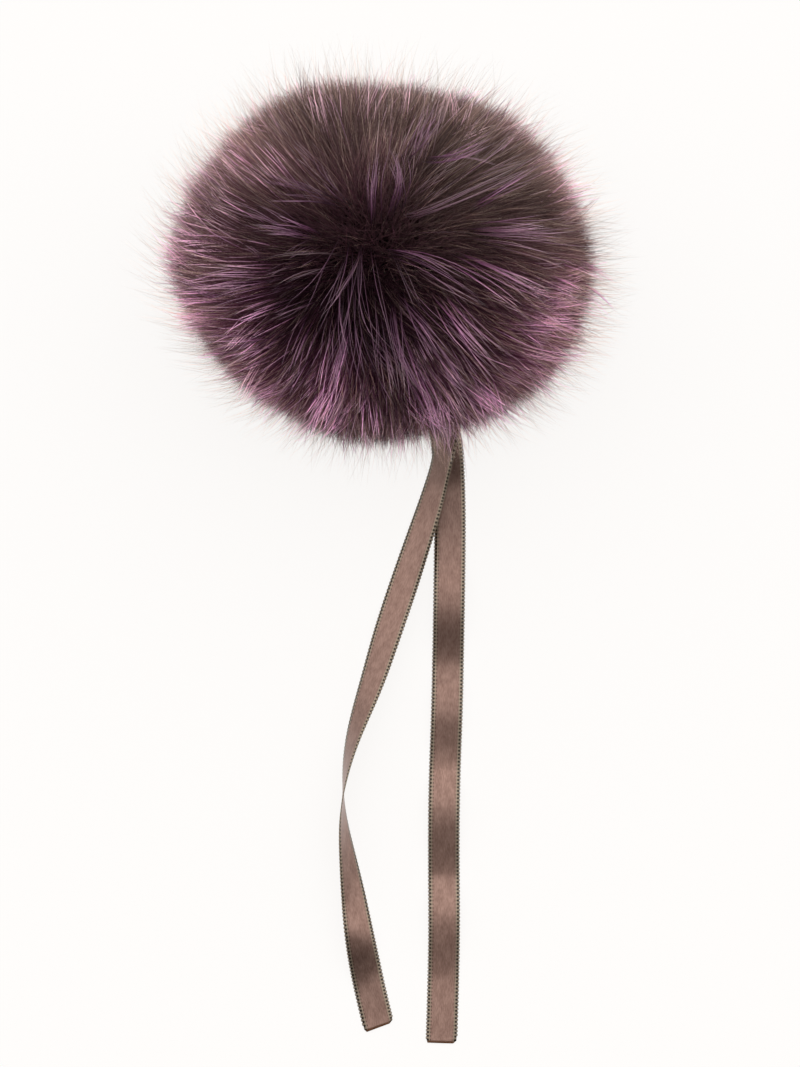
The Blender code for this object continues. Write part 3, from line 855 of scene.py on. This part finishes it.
# The satin's painted sheen and shade along the tail: painted shade near the ball, where the fur
# shades it, and painted sheen bands over the ripples.
RIGHT_PAINTED_SHEEN_AND_SHADE = (
    # y mm and the satin's painted brightness there, half of its usual one where it is 0.5
    (-50, 0.30), (-75, 0.35), (-95, 0.50), (-112, 0.35), (-130, 0.50), (-140, 0.40), (-155, 0.55),
    (-172, 0.40), (-190, 0.50), (-230, 0.55),
)
RIGHT_CORNERS = (0.3, 1.0)                      # mm: how far the end's corners are rounded
SATIN_LIGHT = (0.288, 0.179, 0.145, 1)
SATIN_DARK = (0.171, 0.097, 0.076, 1)
SELVEDGE = (0.260, 0.212, 0.155, 1)
EDGE_DOT = (0.026, 0.018, 0.013, 1)
SEAL = (0.260, 0.110, 0.050, 1)
SEAL_START = (0.9865, 0.9890)                   # on the map, along the ribbon
DOT_PLACE = 0.36                                # mm from the woven edge
DOT_HALF = (0.36, 0.42)                         # mm along the ribbon and across it
INNER_DOT_PLACE = 1.20
INNER_DOT_HALF = (0.30, 0.18)


def spline(knots, spacing):
    """Rows read at even steps from a smooth curve through the knots: a natural cubic in
    each column, over the distance between knots."""
    knots = np.asarray(knots, float)
    steps = np.linalg.norm(np.diff(knots[:, :3], axis=0), axis=1)
    at = np.concatenate(([0.0], np.cumsum(steps)))
    count = len(at)
    slope = np.diff(knots, axis=0) / steps[:, None]
    system = np.diag(np.concatenate(([1.0], 2 * (steps[:-1] + steps[1:]), [1.0])))
    system += np.diag(np.concatenate((steps[:-1], [0.0])), -1)
    system += np.diag(np.concatenate(([0.0], steps[1:])), 1)
    target = np.zeros_like(knots)
    target[1:-1] = 6 * np.diff(slope, axis=0)
    bend = np.linalg.solve(system, target)
    wanted = np.linspace(0, at[-1], int(round(at[-1] / spacing)) + 1)
    piece = np.clip(np.searchsorted(at, wanted, side="right") - 1, 0, count - 2)
    length = (at[piece + 1] - at[piece])[:, None]
    ahead = (wanted - at[piece])[:, None]
    behind = length - ahead
    rows = (bend[piece] * behind ** 3 + bend[piece + 1] * ahead ** 3) / (6 * length)
    rows += (knots[piece] / length - bend[piece] * length / 6) * behind
    rows += (knots[piece + 1] / length - bend[piece + 1] * length / 6) * ahead
    return rows


def tail_frames(route, layer, ripples, spacing):
    """Stations along a tail: its middle, the direction along it, across it and out of its
    face. It starts in the neck, where layer -1 is below and layer 1 above. Ripples add
    squared cosines about their crests to the height, and a rolled ribbon stands on its
    lower edge: half its width times the sine of the roll."""
    inwards = -from_angles(NECK_AZIMUTH, -NECK_CLIMB)
    sideways = from_angles(NECK_AZIMUTH + 90, 0)
    upwards = np.cross(sideways, inwards)
    in_layer = upwards * (layer * (SOLID_THICKNESS + RIBBON_LAYER_GAP) / 2)
    along = np.array((NECK_DEPTH, 0, -NECK_RUN))[:, None]
    start = NECK_PLACE + inwards * along + in_layer - (0, 0, SOLID_THICKNESS / 2)
    start = np.concatenate((start, np.zeros((3, 1))), axis=1)
    beyond = np.array(route) * (MM, MM, MM, math.pi / 180)
    rows = spline(np.concatenate((start, beyond)), spacing)
    roll = np.clip(rows[:, 3:], 0, math.pi)
    middle = rows[:, :3]
    height = np.clip(middle[:, 2], 0, None)
    for crest, peak, rise, fall in ripples:
        off = middle[:, 1] / MM - crest
        off = np.clip(off / np.where(off > 0, rise, fall), -1, 1)
        height = height + peak * MM * np.cos(off * math.pi / 2) ** 2
    height = height + np.sin(roll[:, 0]) * RIBBON_WIDTH / 2
    middle[:, 2] = height + (np.abs(np.cos(roll[:, 0])) / 2 + 0.1) * RIBBON_THICKNESS
    tangent = unit(np.gradient(middle, axis=0))
    side = unit(np.cross((0, 0, 1), tangent))
    up = np.cross(tangent, side)
    across = side * np.cos(roll) + up * np.sin(roll)
    out = up * np.cos(roll) - side * np.sin(roll)
    return middle, tangent, across, out


def distances(line):
    """How far along a line each of its points lies."""
    return np.concatenate(([0], np.cumsum(np.linalg.norm(np.diff(line, axis=0), axis=1))))


def lean_at(to_end, slant):
    """Lean of the ribbon's crosswise lines at a distance from its cut end: the tangent of the
    slant at the end, less and less over END_LEAN, and none beyond."""
    return np.clip(1 - to_end / END_LEAN, 0, 1) * math.tan(math.radians(slant))


def ribbon_sheet(name, frames, slant, corner_cuts, material):
    """A closed thin sheet carried along a tail's stations. A ring runs across the upper face
    and back across the lower one. The last few millimetres lean to the cut's slant, and each
    corner there is rounded off by its own radius. U runs round the ring and V along."""
    middle, tangent, across, out = (rows[:, None] for rows in frames)
    columns = np.linspace(-1, 1, SHEET_COLUMNS)
    ring = np.concatenate((columns, columns[::-1]))
    face = np.repeat((1, -1), SHEET_COLUMNS)
    length = distances(frames[0])
    to_end = (length[-1] - length)[:, None]
    radius = np.where(ring < 0, corner_cuts[0], corner_cuts[1]) * MM
    inside = np.clip(1 - to_end / radius, 0, 1)
    drawn_in = radius * (1 - np.sqrt(1 - inside ** 2)) * np.abs(ring)
    reach = ring * WOVEN_WIDTH / 2 - np.sign(ring) * drawn_in
    lean = lean_at(to_end, slant)
    cup = CUPPING * (1 - ring ** 2) + face * RIBBON_THICKNESS / 2 * (1 - 0.35 * np.abs(ring) ** 8)
    corners = middle + across * reach[..., None] + out * cup[None, :, None]
    corners = corners + tangent * (reach * lean)[..., None]
    corners[..., 2] += np.maximum(0, 0.05 * MM - corners[..., 2].min(axis=1))[:, None]
    stations = len(length)
    around = len(ring)
    number = np.arange(stations * around).reshape(stations, around)
    beside = np.roll(number, -1, axis=1)
    walls = np.stack((number[:-1], number[1:], beside[1:], beside[:-1]), -1).reshape(-1, 4)
    pair = np.arange(SHEET_COLUMNS - 1)
    cap = np.stack((pair, pair + 1, around - 2 - pair, around - 1 - pair), -1)
    caps = np.concatenate((cap, cap[:, ::-1] + number[-1, 0]))

    half_map = 0.5 * (MAP_MARGIN + MAP_SPAN * (columns + 1) / 2)
    u = np.concatenate((half_map, 0.5 + half_map, [1.0]))
    v = MAP_MARGIN + MAP_SPAN * length / length[-1]
    near = np.broadcast_to(v[:-1, None], (stations - 1, around))
    far = np.broadcast_to(v[1:, None], (stations - 1, around))
    here = np.broadcast_to(u[:-1], near.shape)
    there = np.broadcast_to(u[1:], near.shape)
    wall_map = np.stack((here, near, here, far, there, far, there, near), -1)
    here = u[:SHEET_COLUMNS - 1]
    there = u[1:SHEET_COLUMNS]
    map_places = [wall_map]
    for near, far in ((MAP_MARGIN, 0), (1, 1 - MAP_MARGIN)):
        near = np.full(len(pair), near)
        far = np.full(len(pair), far)
        map_places.append(np.stack((here, near, there, near, there, far, here, far), -1))
    return lay_mesh(name, corners.reshape(-1, 3), (walls, caps), material, map_places), length[-1]


def satin_finish(name, frames, painted_sheen_and_shade):
    """Satin from its map: fine flecks along the ribbon, a khaki selvedge with a row of dark
    dots near the edge and fainter ones inside it, and a scorched line where it is sealed.
    Along the tail it is painted darker and lighter: painted shade near the ball, where the fur
    shades it, and painted sheen bands over the ripples. Lengths and widths are in millimetres."""
    at = distances(frames[0])
    length = at[-1]
    y, painted_greys = np.array(painted_sheen_and_shade).T
    spots = MAP_MARGIN + MAP_SPAN * np.interp(-y * MM, -frames[0][:, 1], at / length)
    stops = [(spot, (grey, grey, grey, 1)) for spot, grey in zip(spots.tolist(), painted_greys.tolist())]
    material, tone, shader = new_finish(name, roughness=0.33, specular=0.45)
    shader.inputs["Metallic"].default_value = 0.6
    u, v = parts_of(tone, tone.add("ShaderNodeUVMap", {"uv_map": "OFBake"}))
    along = (v - MAP_MARGIN) * (length / MAP_SPAN / MM)
    share = tone.math("FRACT", u * 2)
    edge = (MAP_SPAN / 2 - tone.math("ABSOLUTE", share - 0.5)) * (WOVEN_WIDTH / MAP_SPAN / MM)
    flat = {"noise_dimensions": "2D"}
    floats = u * (2 * WOVEN_WIDTH / FLOAT_WIDTH)
    fleck = tone.add("ShaderNodeCombineXYZ", inputs={0: floats, 1: along * 0.7})
    flecks = tone.add("ShaderNodeTexNoise", flat, {"Vector": fleck, "Scale": 1.0, "Detail": 2})
    cloud = tone.add("ShaderNodeCombineXYZ", inputs={0: share * 5, 1: along * 0.22})
    clouds = tone.add("ShaderNodeTexNoise", flat, {"Vector": cloud, "Scale": 1.0, "Detail": 3})
    grain = flecks.step(0.25, 0.75) * 0.6 + clouds.step(0.3, 0.7) * 0.4
    # painted shade near the ball and painted sheen bands, from the table along the tail
    satin = (v.ramp(*stops) * 2).lighten(grain.blend(SATIN_DARK, SATIN_LIGHT))
    border = 1 - edge.step(0.8, 1.2)
    colour = (border * 0.85).blend(satin, SELVEDGE)
    from_dot = tone.math("PINGPONG", along, LOOP_PITCH / MM / 2)
    dot = (from_dot / DOT_HALF[0]) ** 2 + ((edge - DOT_PLACE) / DOT_HALF[1]) ** 2
    dot = tone.math("SQRT", dot)
    colour = (1 - dot.step(0.75, 1.15)).blend(colour, EDGE_DOT)
    inner = (from_dot / INNER_DOT_HALF[0]) ** 2
    inner = inner + ((edge - INNER_DOT_PLACE) / INNER_DOT_HALF[1]) ** 2
    inner = tone.math("SQRT", inner)
    inner_strength = 0.75 - share.step(0.4, 0.6) * 0.45
    colour = ((1 - inner.step(0.7, 1.2)) * inner_strength).blend(colour, EDGE_DOT)
    colour_it(tone, shader, v.step(*SEAL_START).blend(colour, SEAL))
    ribs = tone.math("PINGPONG", along, 0.18) * 0.6
    height = flecks * 0.7 + ribs * 0.3 - (1 - dot.step(0.5, 1.2)) * 0.8
    bump = tone.add("ShaderNodeBump", inputs={"Height": height, "Distance": 0.035 * MM, "Strength": 1.0})
    tone.tree.links.new(bump.socket, shader.inputs["Normal"])
    return material


right_frames = tail_frames(RIGHT_ROUTE, -1, RIGHT_RIPPLES, STATION)
right_satin = satin_finish("satin_right", right_frames, RIGHT_PAINTED_SHEEN_AND_SHADE)
right_tail, right_length = ribbon_sheet("ribbon_right", right_frames, 0.0, RIGHT_CORNERS, right_satin)
stand_for(right_tail, "ribbon_tail_right")


# ---------------------------------------------------------------------------------------
# The left tail: the same ribbon. It lies over the right one near the ball, swings away to
# the left, turns over once on its edge, and comes back down on its other face.
LEFT_ROUTE = (
    # x mm, y mm, height mm, roll
    (16.4, -35.0, 1.7, 0),
    (19.6, -47.0, 1.7, 28),
    (18.8, -57.0, 1.3, 47),
    (16.0, -68.1, 0.5, 42),
    (11.2, -83.0, 0.0, 32),
    (6.2, -98.0, 0.0, 25),
    (1.2, -113.0, 0.0, 29),
    (-3.6, -128.0, 0.0, 42),
    (-8.7, -143.0, 0.0, 62),
    (-11.7, -158.0, 0.0, 84),
    (-12.0, -169.0, 0.0, 102),
    (-10.8, -180.0, 0.0, 119),
    (-8.6, -195.0, 0.0, 142),
    (-6.2, -210.0, 0.0, 164),
    (-3.6, -223.0, 0.0, 180),
    (-0.9, -234.2, 0.0, 180),
)
LEFT_RIPPLES = (
    # y mm of the crest, height mm, length mm of its rise from the ball and of its fall
    (-50.0, 2.2, 10, 18),
    (-77.0, 1.0, 9, 19),
    (-110.0, 1.1, 12, 16),
    (-205.0, 1.5, 12, 14),
)
LEFT_PAINTED_SHEEN_AND_SHADE = (
    # y mm and painted brightness: painted shade near the ball and painted sheen bands over the ripples
    (-50, 0.30), (-75, 0.45), (-95, 0.50), (-125, 0.45), (-145, 0.50), (-165, 0.60), (-185, 0.45),
    (-202, 0.50), (-212, 0.35), (-232, 0.50),
)
LEFT_END_SLANT = 6.5                            # degrees
LEFT_CORNERS = (1.2, 0.6)

left_frames = tail_frames(LEFT_ROUTE, 1, LEFT_RIPPLES, STATION)
left_satin = satin_finish("satin_left", left_frames, LEFT_PAINTED_SHEEN_AND_SHADE)
left_tail, left_length = ribbon_sheet("ribbon_left", left_frames, LEFT_END_SLANT, LEFT_CORNERS, left_satin)
stand_for(left_tail, "ribbon_tail_left")


# ---------------------------------------------------------------------------------------
# The picot edge: the weft turns round at each selvedge in tiny loops, a little more than one
# every millimetre. They make the scalloped border along both edges of both tails.
LOOP_HALF = 0.40 * MM                           # half of a loop's length along the edge
LOOP_REACH = 0.27 * MM                          # how far its thread's middle stands out
LOOP_THREAD = 0.14 * MM                         # the thread's radius
LOOP_COLOUR = (0.215, 0.172, 0.125)


def looped_edge(name, frames, edge, slant, corner, material):
    """Loops along one edge of a sheet: half an oval each, of LOOP_HALF along the edge and
    LOOP_REACH out of it, carried as a tube of four sides. They stop at the rounded corner,
    and near the end they lean with the sheet to its slant."""
    middle, tangent, across, out = frames
    length = distances(middle)
    count = int((length[-1] - corner * MM) / LOOP_PITCH)
    half_turn = np.linspace(0, np.pi, 5)
    start = (np.arange(count) + 0.5)[:, None] * LOOP_PITCH
    at = (start - LOOP_HALF * np.cos(half_turn)).ravel()
    read = [np.stack([np.interp(at, length, column) for column in rows.T], -1) for rows in frames]
    middle, tangent, across, out = (rows.reshape(count, 5, 3) for rows in read)
    lean = lean_at(length[-1] - at, slant).reshape(count, 5, 1)
    reach = (WOVEN_WIDTH / 2 - 0.06 * MM + LOOP_REACH * np.sin(half_turn))[:, None]
    line = middle + (across + tangent * lean) * (edge * reach)
    heading = unit(np.gradient(line, axis=1))
    side = unit(np.cross(out, heading))
    up = np.cross(heading, side)
    turn = np.pi / 2 * np.arange(4)[:, None]
    ring = LOOP_THREAD * (np.cos(turn) * side[:, :, None] + np.sin(turn) * up[:, :, None])
    corners = line[:, :, None] + ring
    corners[..., 2] += np.maximum(0, 0.03 * MM - corners[..., 2].min(axis=(1, 2)))[:, None, None]
    number = np.arange(count * 20).reshape(count, 5, 4)
    beside = np.roll(number, -1, axis=2)
    walls = np.stack((number[:, :-1], beside[:, :-1], beside[:, 1:], number[:, 1:]), -1).reshape(-1, 4)
    caps = np.concatenate((number[:, 0, ::-1], number[:, -1]))
    piece = lay_mesh(name, corners.reshape(-1, 3), (walls, caps), material)
    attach(piece, "root")
    return piece


loop_finish, tone, shader = new_finish("edge_loops", roughness=0.6, specular=0.3)
coordinates = tone.add("ShaderNodeTexCoord", output="Object")
fibres = tone.add("ShaderNodeTexNoise", inputs={"Vector": coordinates, "Scale": 3500, "Detail": 2})
colour_it(tone, shader, (fibres * 1.2 + 0.4).lighten(LOOP_COLOUR))
for side_name, frames, slant, corner_cuts in (
    ("right", right_frames, 0.0, RIGHT_CORNERS),
    ("left", left_frames, LEFT_END_SLANT, LEFT_CORNERS),
):
    [
        looped_edge(f"{side_name}_loops_{number}", frames, edge, slant, corner, loop_finish)
        for number, edge, corner in ((1, -1, corner_cuts[0]), (2, 1, corner_cuts[1]))
    ]


# ---------------------------------------------------------------------------------------
# The surface: a plain warm-white table top, so brightly lit that shadows on it are faint.
FLOOR_SIZE = 4.0
FLOOR_COLOUR = (0.10, 0.10, 0.10, 1)
FLOOR_GLOW = (0.885, 0.870, 0.856, 1)

floor_finish, tone, shader = new_finish("surface", roughness=0.9, specular=0.0)
shader.inputs["Base Color"].default_value = FLOOR_COLOUR
shader.inputs["Emission Color"].default_value = FLOOR_GLOW
shader.inputs["Emission Strength"].default_value = 1.0
corners = np.array(((-1, -1, 0), (1, -1, 0), (1, 1, 0), (-1, 1, 0))) * FLOOR_SIZE / 2
floor = lay_mesh("surface", corners, (np.array([[0, 1, 2, 3]]),), floor_finish)


# ---------------------------------------------------------------------------------------
# The light: soft and pale from overhead, from both sides and from beyond the ball, and dim
# on the near side, which bands the ribbons together with the sheen bands painted on them. The
# picture is taken with plain colours.
NEAR_DARK = -0.32                               # how far north the sky's light starts
FAR_LIGHT = -0.06
SKY_LIGHT = 1.80
NEAR_LIGHT = 0.11

world = bpy.data.worlds.new("light_all_round")
world.use_nodes = True
sky = Tone(world.node_tree)
northward = parts_of(sky, sky.add("ShaderNodeTexCoord", output="Generated"))[1]
background = world.node_tree.nodes["Background"]
background.inputs["Color"].default_value = (1.0, 0.985, 0.97, 1)
strength = northward.step(NEAR_DARK, FAR_LIGHT) * (SKY_LIGHT - NEAR_LIGHT) + NEAR_LIGHT
world.node_tree.links.new(strength.socket, background.inputs["Strength"])
bpy.context.scene.world = world
bpy.context.scene.view_settings.view_transform = "Standard"
